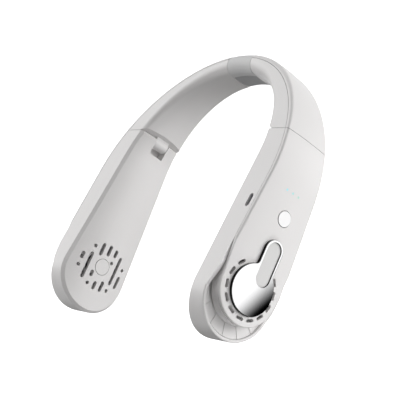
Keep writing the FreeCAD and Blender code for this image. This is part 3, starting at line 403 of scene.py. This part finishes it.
# Black painted as shade on the side walls.
WALL_PAINTED_SHADE = (0.012, 0.012, 0.012)
PLATING = (0.94, 0.94, 0.945)
PLATING_GRAIN = 0.8 * MM
PLATING_SPOTS = 0.03
PLATING_ROUGHNESS = 0.03


def badge_finish():
    """The mirror of the badge, with shade painted black on its side walls. Its dip is a height in metres."""
    made, shader, flow = new_finish("badge_mirror")
    low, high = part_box("badge_plate")
    middle = (low + high) / 2
    along = along_axis(flow, flow.node("ShaderNodeTexCoord", out="Object"), back) - middle.dot(back)
    outward = along_axis(flow, flow.node("ShaderNodeTexCoord", out="Normal"), across)
    plated = smooth_step(flow, outward, WALL_TURN)
    fine = grain(flow, PLATING_GRAIN, FINE_DETAIL)
    feed(
        flow,
        shader,
        Base_Color=mixed(flow, plated * (1 - PLATING_SPOTS * fine), WALL_PAINTED_SHADE, PLATING),
        Roughness=fine * PLATING_ROUGHNESS + PLATING_ROUGHNESS,
        Normal=bumped(flow, along * along * (-0.5 / BADGE_BEND), 1.0, 1.0),
    )
    shader.inputs["Metallic"].default_value = 1.0
    return made


badge_mirror = badge_finish()
print("badge bends on a radius of", round(BADGE_BEND / MM), "mm")

# %% [markdown]
# The rigid solids already have their final shapes, so they only get their finishes. A node's name without
# its side says what it is, and one table serves both arms.

# %% Finishes on the solids
FINISHES = {
    "band_inner": shell_white,
    "band_outer": shell_white,
    "arm_tray": shell_white,
    "arm_cover": shell_white,
    "hub_cap": shell_white,
    "hinge_leaf": tab_white,
    "hinge_pin": ground_steel,
    "outlet_guide": guide_white,
    "fan_shroud": wheel_grey,
    "impeller": wheel_grey,
    "magnet_ring": core_iron,
    "motor_shaft": ground_steel,
    "motor_base": wheel_grey,
    "motor_stator": core_iron,
    "motor_coils": coil_copper,
    "battery_cell": cell_foil,
    "badge_plate": badge_mirror,
    "badge_inlay": inlay_satin,
    "power_button": button_gloss,
    "button_switch": inside_dark,
    "light_pipes": pipe_mint,
    "indicator_leds": pipe_mint,
    "circuit_board": board_mask,
    "board_screws": ground_steel,
    "usb_socket": ground_steel,
    "neck_sleeve": sleeve_silicone,
    "spring_strip": ground_steel,
}

for name, node in frame["nodes"].items():
    kind = name.removesuffix("_left").removesuffix("_right")
    node.data.materials.clear()
    node.data.materials.append(FINISHES[kind])
print("dressed", len(frame["nodes"]), "solids")

# %% [markdown]
# The soft middle of the band is a silicone sleeve over a spring strip. It has to go on where the two halves
# of the band stop, so the band's own faces are written down first: both are arcs round the neck, crowned
# from edge to edge, and the band gets lower towards the nape.

# %% Faces of the band
OUTER_RADIUS = 104 * MM
OUTER_BACK = -16.7 * MM
INNER_CROWN = 72 * MM
OUTER_CROWN = 160 * MM
SEAM_BACK = 19.5 * MM
SEAM_HALF = 19.04 * MM
BAND_TAPER = math.tan(math.radians(5.4))


def crown_drop(crown, z):
    """How far a face crowned on a radius falls away at a height."""
    return crown - math.sqrt(crown * crown - z * z)


def inner_back(x, z):
    """How far back the band's inner face is."""
    return math.sqrt((NECK_RADIUS + crown_drop(INNER_CROWN, z)) ** 2 - x * x)


def outer_back(x, z):
    """How far back the band's outer face is."""
    return OUTER_BACK + math.sqrt((OUTER_RADIUS - crown_drop(OUTER_CROWN, z)) ** 2 - x * x)


def half_height(y):
    """Half of the band's height at a place back from the neck's centre."""
    return SEAM_HALF - (y - SEAM_BACK) * BAND_TAPER


print("nape", round((outer_back(0, 0) - inner_back(0, 0)) / MM, 1), "mm thick")

# %% [markdown]
# The sleeve's solid is a plain block with round edges, so it is modelled again. A cloth simulation would be
# wrong for a thick moulding: rows of points are set round the band's section instead, and joined later. The
# section has the pad against the neck, a crease above it and the band's full round over the top.

# %% Section of the sleeve
PAD_LOW = -10 * MM
PAD_INSET = 0.3 * MM
PAD_POINTS = 12
CREASE = 0.5 * MM
COVER_POINTS = 4
COLLAR = 8 * MM
COLLAR_STEPS = 12
CORNER_STEPS = 6
SHOULDER = 4 * MM
LOWER_EDGE = 1.6 * MM
REAR_HEIGHTS = [6 * MM, 3 * MM, 0, -3 * MM, -6 * MM]


def round_corner(corner, along_in, along_out, radius):
    """A round corner in the section, as points between two directions."""
    start = tuple(c - a * radius for c, a in zip(corner, along_in))
    end = tuple(c + b * radius for c, b in zip(corner, along_out))
    points = []
    for k in range(CORNER_STEPS + 1):
        t = k / CORNER_STEPS
        shares = ((1 - t) ** 2, 2 * t * (1 - t), t * t)
        points.append(tuple(sum(s * p for s, p in zip(shares, ways)) for ways in zip(start, corner, end)))
    return points


def inner_points(x, lowest, highest, count, inset=0.0):
    """Points up the inner face, set back by an inset."""
    heights = [lowest + (highest - lowest) * k / (count - 1) for k in range(count)]
    return [(inner_back(x, z) + inset, z) for z in heights]


def nape_section(x):
    """The sleeve's outline (back, up) at a place across the nape, from its lower front edge up and round."""
    rear = outer_back(x, 0)
    front = inner_back(x, half_height(inner_back(x, 0))) + PAD_INSET
    round_back = inner_back(x, 0) + COLLAR
    round_up = half_height(round_back) - COLLAR
    low_front = (front, -half_height(front))
    low_rear = (rear - crown_drop(OUTER_CROWN, half_height(rear)), -half_height(rear))
    top_rear = (low_rear[0], half_height(rear))
    rearward = (1.0, -BAND_TAPER)
    forward = (-1.0, -BAND_TAPER)
    points = round_corner(low_front, forward, (0.0, 1.0), LOWER_EDGE)
    points += inner_points(x, PAD_LOW, PAD_TOP - CREASE, PAD_POINTS, PAD_INSET)
    points.append((inner_back(x, PAD_TOP) + PAD_INSET + CREASE, PAD_TOP - CREASE / 2))
    points += inner_points(x, PAD_TOP, round_up - CREASE, COVER_POINTS)
    for k in range(COLLAR_STEPS + 1):
        bend = math.radians(90 * k / COLLAR_STEPS)
        points.append((round_back - COLLAR * math.cos(bend), round_up + COLLAR * math.sin(bend)))
    points += round_corner(top_rear, rearward, (0.0, -1.0), SHOULDER)
    points += [(outer_back(x, z), z) for z in REAR_HEIGHTS]
    points += round_corner(low_rear, (0.0, -1.0), forward, SHOULDER)
    return points


print("section of", len(nape_section(0)), "points")

# %% [markdown]
# One helper joins rows of points to a closed skin. It serves a piece with a hole through it, whose last row
# meets its first, and a bar, whose two ends are closed with a face.

# %% Joining rows of points
SHARP_EDGE = math.radians(25)


def lofted(name, rows, finish, endless):
    """A closed skin through rows of points: the last row joins the first, or else both get a face."""
    skin = bmesh.new()
    rings = [[skin.verts.new(at(*point)) for point in row] for row in rows]
    pairs = list(zip(rings, rings[1:]))
    if endless:
        pairs.append((rings[-1], rings[0]))
    else:
        skin.faces.new(rings[0])
        skin.faces.new(rings[-1])
    for first, second in pairs:
        for k in range(len(first)):
            nxt = (k + 1) % len(first)
            skin.faces.new((first[k], first[nxt], second[nxt], second[k]))
    bmesh.ops.recalc_face_normals(skin, faces=skin.faces)
    mesh = bpy.data.meshes.new(name)
    skin.to_mesh(mesh)
    skin.free()
    mesh.shade_smooth()
    mesh.set_sharp_from_angle(angle=SHARP_EDGE)
    mesh.materials.append(finish)
    made = bpy.data.objects.new(name, mesh)
    scene.collection.objects.link(made)
    return made


print("edges sharper than", round(math.degrees(SHARP_EDGE)), "degrees stay sharp")

# %% [markdown]
# The sleeve leaves a slot for the spring strip, a flat steel band that bends with the neck. Both have many
# rows where they bend.

# %% Sleeve and spring strip
SLEEVE_HALF = 13.25 * MM
SLEEVE_STEPS = 12
SLOT_HALF_THICK = 0.7 * MM
SLOT_HALF_WIDE = 4.9 * MM
STRIP_RADIUS = 80.65 * MM
STRIP_THICK = 0.6 * MM
STRIP_WIDTH = 9 * MM
STRIP_ANGLE = 38
STRIP_STEPS = 38
NEARLY_NOTHING = 1e-9


def slot_point(y, z, middle):
    """Where a line from the strip's middle to a point of the outline leaves the strip's slot."""
    walls = ((SLOT_HALF_THICK, y - middle), (SLOT_HALF_WIDE, z))
    share = min(half / max(abs(way), NEARLY_NOTHING) for half, way in walls)
    return middle + (y - middle) * share, z * share


def sleeve_rows():
    """Sections along the sleeve's skin, then back through its slot."""
    stations = [SLEEVE_HALF * k / SLEEVE_STEPS for k in range(-SLEEVE_STEPS, SLEEVE_STEPS + 1)]
    skin = [[(x, y, z) for y, z in nape_section(x)] for x in stations]
    hole = []
    for x in reversed(stations):
        middle = math.sqrt(STRIP_RADIUS ** 2 - x * x)
        hole.append([(x, *slot_point(y, z, middle)) for y, z in nape_section(x)])
    return skin + hole


def strip_rows():
    """The strip's four corners at each step round the nape."""
    thick, wide = STRIP_THICK / 2, STRIP_WIDTH / 2
    corners = [(-thick, -wide), (thick, -wide), (thick, wide), (-thick, wide)]
    rows = []
    for k in range(-STRIP_STEPS, STRIP_STEPS + 1):
        bend = math.radians(STRIP_ANGLE * k / STRIP_STEPS)
        arcs = [(STRIP_RADIUS + r, z) for r, z in corners]
        rows.append([(radius * math.sin(bend), radius * math.cos(bend), z) for radius, z in arcs])
    return rows


sleeve = lofted("soft_sleeve", sleeve_rows(), sleeve_silicone, endless=True)
strip = lofted("bent_strip", strip_rows(), ground_steel, endless=False)
for piece, node, slot in ((sleeve, "neck_sleeve", "grey_sleeve"), (strip, "spring_strip", "steel")):
    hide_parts(node)
    at(-SLEEVE_HALF, 0, 0)
    at(SLEEVE_HALF, 0, 0)
    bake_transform(piece)
    print(piece.name, len(piece.data.polygons), "faces")

# %% [markdown]
# Each motor has six windings, whose solids are plain rings round the stator's teeth. Geometry Nodes wind
# real wire there: a spiral is stretched to the tooth, turned so that it runs outward, given a round wire,
# and set on one point for each tooth. Made by hand it would be one coil copied six times, and a change
# of wire or turns would mean starting again.

# %% Node tree of the windings
POINTS_A_TURN = 16
WIRE_SIDES = 6
TURNED_OUTWARD = (math.pi / 2, 0, math.pi / 2)


def winding_tree():
    """A tree that winds round wire on teeth set out in a circle about Z."""
    tree = bpy.data.node_groups.new("windings", "GeometryNodeTree")
    tree.interface.new_socket("Geometry", in_out="OUTPUT", socket_type="NodeSocketGeometry")
    for name in ("Teeth", "Turns", "Start", "Length", "Half Width", "Half Height", "Wire Radius"):
        kind = "NodeSocketInt" if name == "Teeth" else "NodeSocketFloat"
        tree.interface.new_socket(name, in_out="INPUT", socket_type=kind)
    flow = Flow(tree)

    def given(name):
        return flow.node("NodeGroupInput", out=name)

    def vector(x, y, z):
        return flow.node("ShaderNodeCombineXYZ", None, {"X": x, "Y": y, "Z": z})

    def changed(geometry, **ways):
        return flow.node("GeometryNodeTransform", None, {"Geometry": geometry, **ways})

    spiral = flow.node(
        "GeometryNodeCurveSpiral",
        None,
        {
            "Resolution": POINTS_A_TURN,
            "Rotations": given("Turns"),
            "Start Radius": 1.0,
            "End Radius": 1.0,
            "Height": given("Length"),
        },
    )
    coil = changed(spiral, Scale=vector(given("Half Width"), given("Half Height"), 1.0))
    coil = changed(coil, Rotation=TURNED_OUTWARD, Translation=vector(given("Start"), 0.0, 0.0))
    ring_sizes = {"Resolution": WIRE_SIDES, "Radius": given("Wire Radius")}
    ring = flow.node("GeometryNodeCurvePrimitiveCircle", None, ring_sizes)
    wire_parts = {"Curve": coil, "Profile Curve": ring, "Fill Caps": True}
    wire = flow.node("GeometryNodeCurveToMesh", None, wire_parts)
    share = flow.math("DIVIDE", flow.node("GeometryNodeInputIndex"), given("Teeth"))
    set_out = flow.node(
        "GeometryNodeInstanceOnPoints",
        None,
        {
            "Points": flow.node("GeometryNodePoints", None, {"Count": given("Teeth")}),
            "Instance": wire,
            "Rotation": vector(0.0, 0.0, math.tau * share),
        },
    )
    whole = flow.node("GeometryNodeRealizeInstances", None, {"Geometry": set_out})
    whole = flow.node("GeometryNodeSetMaterial", None, {"Geometry": whole, "Material": coil_copper})
    tree.links.new(whole.socket, tree.nodes.new("NodeGroupOutput").inputs["Geometry"])
    return tree


winder = winding_tree()
print("winding tree of", len(winder.nodes), "nodes")

# %% [markdown]
# The tree is run once for each motor and its result kept as a plain mesh, which is what the export takes. The
# wire lies side by side, so its radius and the length of a tooth give the turns. The mesh is then turned so
# that the first tooth points back and the motor's axle runs across.

# %% Both motors wound
WIRE_RADIUS = 0.15 * MM
COIL_START = 4.15 * MM
COIL_LENGTH = 1.85 * MM
COIL_HALF = 1.75 * MM
TEETH = 6


def wind_motor(tree, side):
    """The six windings of one motor as a plain mesh in place."""
    low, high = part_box("motor_coils_" + side)
    sizes = {
        "Teeth": TEETH,
        "Turns": COIL_LENGTH / (2 * WIRE_RADIUS),
        "Start": COIL_START,
        "Length": COIL_LENGTH,
        "Half Width": COIL_HALF,
        "Half Height": (high.x - low.x) / 2 - WIRE_RADIUS,
        "Wire Radius": WIRE_RADIUS,
    }
    piece = bpy.data.objects.new("windings_" + side, bpy.data.meshes.new("windings_" + side))
    scene.collection.objects.link(piece)
    nodes = piece.modifiers.new("windings", "NODES")
    nodes.node_group = tree
    for socket in tree.interface.items_tree:
        if socket.in_out == "INPUT":
            nodes[socket.identifier] = sizes[socket.name]
    wound = piece.evaluated_get(bpy.context.evaluated_depsgraph_get())
    mesh = bpy.data.meshes.new_from_object(wound)
    piece.modifiers.clear()
    piece.data = mesh
    motor_axes = Matrix((back, up, across)).transposed().to_4x4()
    mesh.transform(Matrix.Translation((low + high) / 2) @ motor_axes)
    mesh.shade_smooth()
    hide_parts("motor_coils_" + side)
    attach(piece, "arm_" + side)
    return piece


for side in ("left", "right"):
    print(wind_motor(winder, side).name, "wound on", TEETH, "teeth")

# %% [markdown]
# The stage is a white glass table. It only shows itself to the camera: it stops neither the low light nor the
# reflections, and it glows so that it stays white in every view.

# %% Table
TABLE_HALF = 3.0
TABLE_GAP = 0.2 * MM
TABLE_SPOTS = 0.3
TABLE_PALE = (0.9, 0.9, 0.9)
TABLE_DEEP = (0.86, 0.86, 0.86)
TABLE_ROUGHNESS = 0.9


def make_floor():
    """A square table top just under the fan."""
    mesh = bpy.data.meshes.new("floor")
    corners = [(-1, -1), (1, -1), (1, 1), (-1, 1)]
    level = cad_box[0][2] - TABLE_GAP
    mesh.from_pydata([(x * TABLE_HALF, y * TABLE_HALF, level) for x, y in corners], [], [(0, 1, 2, 3)])
    floor = bpy.data.objects.new("floor", mesh)
    scene.collection.objects.link(floor)
    made, shader, flow = new_finish("white_table")
    feed(flow, shader, Base_Color=mixed(flow, grain(flow, TABLE_SPOTS), TABLE_PALE, TABLE_DEEP))
    shader.inputs["Roughness"].default_value = TABLE_ROUGHNESS
    shader.inputs["Emission Color"].default_value = (1, 1, 1, 1)
    shader.inputs["Emission Strength"].default_value = 1.0
    floor.data.materials.append(made)
    floor.visible_diffuse = False
    floor.visible_glossy = False
    floor.visible_shadow = False
    return floor


print(make_floor().name, "is", 2 * TABLE_HALF, "m wide")

# %% [markdown]
# The photograph is lit from low on the right, through the table, and from high on the left, and hardly at all
# from the camera. So the arms' inner and outer faces and their upper edges are bright, and the bevels between
# them are grey. A small box near the right tip opens up the air outlet there. The boxes that the badge would
# mirror are hidden from mirrors.


# %% Soft boxes
def soft_light(name, place, size, power, aim=(0, 0, 0), mirrored=True):
    """A square soft box at a place given across, back and up, turned to a point of the fan."""
    data = bpy.data.lights.new(name, "AREA")
    data.shape = "SQUARE"
    data.size = size
    data.energy = power
    light = bpy.data.objects.new(name, data)
    light.location = at(*place)
    light.rotation_euler = (at(*place) - at(*aim)).to_track_quat("Z", "Y").to_euler()
    light.visible_glossy = mirrored
    scene.collection.objects.link(light)


RIGHT_TIP = (0.088, -0.11, 0)
soft_light("low_box", (0.85, 0.60, -0.60), size=0.9, power=11, mirrored=False)
soft_light("side_box", (1.2, 0, -0.1), size=0.9, power=2.4, mirrored=False)
soft_light("high_box", (-1.9, 0.45, 2.4), size=2.6, power=67)
soft_light("tip_box", (0.32, -0.30, -0.20), size=0.15, power=0.4, aim=RIGHT_TIP, mirrored=False)
print(len(bpy.data.lights), "soft boxes")

# %% [markdown]
# The studio round the fan is a white room with a dark floor. Diffuse light from it is weak, so that the boxes
# shape the fan. What mirrors it sees it at full strength: the badge is white where it faces the wall, and
# black where it dips to the floor.

# %% The room
ROOM_FILL = 0.14
ROOM_BRIGHT = 1.15
FLOOR_EDGE = (-0.685, -0.50)
FLOOR_SLANT = 0.56


def make_room():
    """A world that is dim to diffuse rays and a bright room with a dark floor to the others."""
    room = bpy.data.worlds.new("studio")
    room.use_nodes = True
    tree = room.node_tree
    flow = Flow(tree)
    way = flow.node("ShaderNodeTexCoord", out="Generated")
    bright = smooth_step(flow, along_axis(flow, way, up + back * FLOOR_SLANT), FLOOR_EDGE)
    soft = flow.node("ShaderNodeLightPath", out="Is Diffuse Ray")
    strength = soft * ROOM_FILL + (1 - soft) * bright * ROOM_BRIGHT
    lamp = tree.nodes["Background"]
    lamp.inputs["Color"].default_value = (1, 1, 1, 1)
    tree.links.new(strength.socket, lamp.inputs["Strength"])
    scene.world = room


make_room()
scene.view_settings.view_transform = "Standard"
print("room lit")
